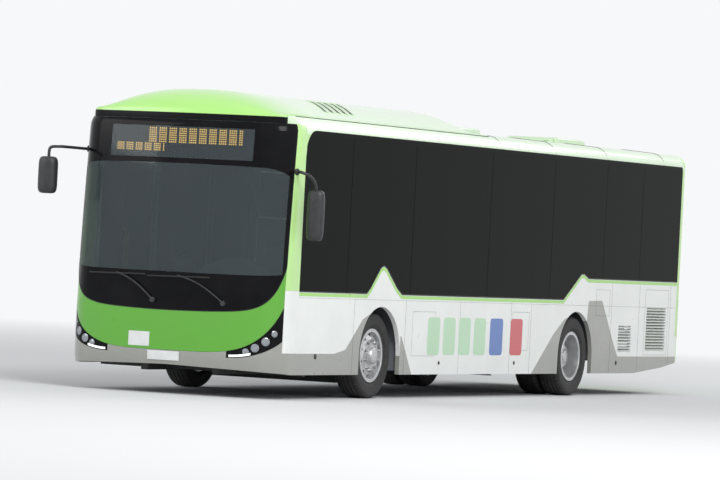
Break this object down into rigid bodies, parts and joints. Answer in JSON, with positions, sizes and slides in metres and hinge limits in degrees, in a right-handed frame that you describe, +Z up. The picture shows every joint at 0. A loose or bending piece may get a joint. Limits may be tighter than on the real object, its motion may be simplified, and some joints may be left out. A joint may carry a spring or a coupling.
{
  "type": "low-entry airport passenger bus",
  "caption": "Full-size low-entry airport bus body on axles with steering front wheels, inward-gliding doors, hinged engine lid and roof hatches.",
  "frame": {"origin": "on the ground under the middle of the bus's bounding box", "axes": "+Z up, the front faces -Y, the driver's side is +X, the doorways are on the -X side"},
  "size_m": [3.12, 12.2, 3.28],
  "materials": {
    "frame_steel": "satin black chassis paint",
    "floor": "speckled matt flooring",
    "white_paint": "gloss coach paint",
    "grey_paint": "gloss coach paint",
    "silver_paint": "satin",
    "mint_paint": "gloss coach paint",
    "green_paint": "gloss coach paint",
    "light_green_paint": "gloss coach paint",
    "tinted_glass": "dark tinted, polished",
    "screen_glass": "clear laminated, polished",
    "red_lens": "ribbed lens",
    "black_plastic": "gloss",
    "dash_plastic": "grained",
    "seat_fabric": "woven moquette",
    "rail_paint": "powder coat",
    "tyre_rubber": "worn road tyre",
    "rim_steel": "silver wheel paint",
    "bare_steel": "satin",
    "door_black": "satin black"
  },
  "bodies": {
    "body": {"chassis_frame": "frame_steel", "floor_low": "floor", "floor_rear": "floor", "wheel_boxes": "floor", "side_wall_left": "white_paint", "side_wall_right": "white_paint", "arch_flares": "grey_paint", "side_glass": "tinted_glass", "side_grilles": "silver_paint", "roof": "mint_paint", "roof_fairing": "mint_paint", "rear_wall": "light_green_paint", "rear_window": "tinted_glass", "engine": "frame_steel", "tail_lamps": "red_lens", "front_mask": "green_paint", "corner_pillars": "light_green_paint", "corner_panels": "white_paint", "windscreen": "screen_glass", "front_bumper": "grey_paint", "headlamps": "black_plastic", "destination_display": "black_plastic", "mirrors": "black_plastic", "dashboard": "dash_plastic", "steering_wheel": "black_plastic", "driver_seat": "seat_fabric", "driver_partition": "dash_plastic", "seat_stands": "frame_steel", "seat_cushions": "seat_fabric", "seat_backs": "seat_fabric", "handrails": "rail_paint", "front_axle": "frame_steel", "rear_axle": "frame_steel"},
    "hatch_front_lid": {"hatch_front": "mint_paint"},
    "hatch_rear_lid": {"hatch_rear": "mint_paint"},
    "engine_door": {"engine_lid": "light_green_paint"},
    "steer_left": {"knuckle_left": "frame_steel"},
    "steer_right": {"knuckle_right": "frame_steel"},
    "wheel_front_left": {"tyre_front_left": "tyre_rubber", "rim_front_left": "rim_steel"},
    "wheel_front_right": {"tyre_front_right": "tyre_rubber", "rim_front_right": "rim_steel"},
    "wheels_rear_left": {"tyres_rear_left": "tyre_rubber", "rims_rear_left": "rim_steel"},
    "wheels_rear_right": {"tyres_rear_right": "tyre_rubber", "rims_rear_right": "rim_steel"},
    "door_post_1": {"post_1": "bare_steel"},
    "door_leaf_1": {"leaf_1": "door_black", "pane_1": "tinted_glass"},
    "door_post_2": {"post_2": "bare_steel"},
    "door_leaf_2": {"leaf_2": "door_black", "pane_2": "tinted_glass"},
    "door_post_3": {"post_3": "bare_steel"},
    "door_leaf_3": {"leaf_3": "door_black", "pane_3": "tinted_glass"},
    "door_post_4": {"post_4": "bare_steel"},
    "door_leaf_4": {"leaf_4": "door_black", "pane_4": "tinted_glass"}
  },
  "joints": [
    {"name": "steering_left", "type": "hinge", "parent": "body", "child": "steer_left", "pos_m": [0.89, -3.14, 0.478], "axis": [0, 0, 1], "range_deg": [-45, 45]},
    {"name": "steering_right", "type": "hinge", "parent": "body", "child": "steer_right", "pos_m": [-0.89, -3.14, 0.478], "axis": [0, 0, 1], "range_deg": [-45, 45]},
    {"name": "front_left_spin", "type": "hinge", "parent": "steer_left", "child": "wheel_front_left", "pos_m": [1.06, -3.14, 0.478], "axis": [1, 0, 0], "continuous": true},
    {"name": "front_right_spin", "type": "hinge", "parent": "steer_right", "child": "wheel_front_right", "pos_m": [-1.06, -3.14, 0.478], "axis": [1, 0, 0], "continuous": true},
    {"name": "rear_left_spin", "type": "hinge", "parent": "body", "child": "wheels_rear_left", "pos_m": [1.105, 2.59, 0.478], "axis": [1, 0, 0], "continuous": true},
    {"name": "rear_right_spin", "type": "hinge", "parent": "body", "child": "wheels_rear_right", "pos_m": [-1.105, 2.59, 0.478], "axis": [1, 0, 0], "continuous": true},
    {"name": "engine_lid_hinge", "type": "hinge", "parent": "body", "child": "engine_door", "pos_m": [0, 6.088, 1.24], "axis": [1, 0, 0], "range_deg": [0, 80]},
    {"name": "hatch_front_hinge", "type": "hinge", "parent": "body", "child": "hatch_front_lid", "pos_m": [0, 0.58369, 3.129], "axis": [1, 0, 0], "range_deg": [0, 30]},
    {"name": "hatch_rear_hinge", "type": "hinge", "parent": "body", "child": "hatch_rear_lid", "pos_m": [0, 3.93037, 3.129], "axis": [1, 0, 0], "range_deg": [0, 30]},
    {"name": "door_post_1_turn", "type": "hinge", "parent": "body", "child": "door_post_1", "pos_m": [-1.2, -5.25, 1.4], "axis": [0, 0, -1], "range_deg": [0, 80]},
    {"name": "door_leaf_1_turn", "type": "hinge", "parent": "door_post_1", "child": "door_leaf_1", "pos_m": [-1.2, -4.9265, 1.4], "axis": [0, 0, 1], "range_deg": [0, 160]},
    {"name": "door_post_2_turn", "type": "hinge", "parent": "body", "child": "door_post_2", "pos_m": [-1.2, -3.89, 1.4], "axis": [0, 0, 1], "range_deg": [0, 80]},
    {"name": "door_leaf_2_turn", "type": "hinge", "parent": "door_post_2", "child": "door_leaf_2", "pos_m": [-1.2, -4.2135, 1.4], "axis": [0, 0, -1], "range_deg": [0, 160]},
    {"name": "door_post_3_turn", "type": "hinge", "parent": "body", "child": "door_post_3", "pos_m": [-1.2, -1.31, 1.4], "axis": [0, 0, -1], "range_deg": [0, 80]},
    {"name": "door_leaf_3_turn", "type": "hinge", "parent": "door_post_3", "child": "door_leaf_3", "pos_m": [-1.2, -0.9865, 1.4], "axis": [0, 0, 1], "range_deg": [0, 160]},
    {"name": "door_post_4_turn", "type": "hinge", "parent": "body", "child": "door_post_4", "pos_m": [-1.2, 0.05, 1.4], "axis": [0, 0, 1], "range_deg": [0, 80]},
    {"name": "door_leaf_4_turn", "type": "hinge", "parent": "door_post_4", "child": "door_leaf_4", "pos_m": [-1.2, -0.2735, 1.4], "axis": [0, 0, -1], "range_deg": [0, 160]}
  ],
  "couplings": [
    {"joint": "steering_right", "follows": "steering_left", "ratio": 1},
    {"joint": "door_leaf_1_turn", "follows": "door_post_1_turn", "ratio": 2},
    {"joint": "door_post_2_turn", "follows": "door_post_1_turn", "ratio": 1},
    {"joint": "door_leaf_2_turn", "follows": "door_post_1_turn", "ratio": 2},
    {"joint": "door_leaf_3_turn", "follows": "door_post_3_turn", "ratio": 2},
    {"joint": "door_post_4_turn", "follows": "door_post_3_turn", "ratio": 1},
    {"joint": "door_leaf_4_turn", "follows": "door_post_3_turn", "ratio": 2}
  ]
}
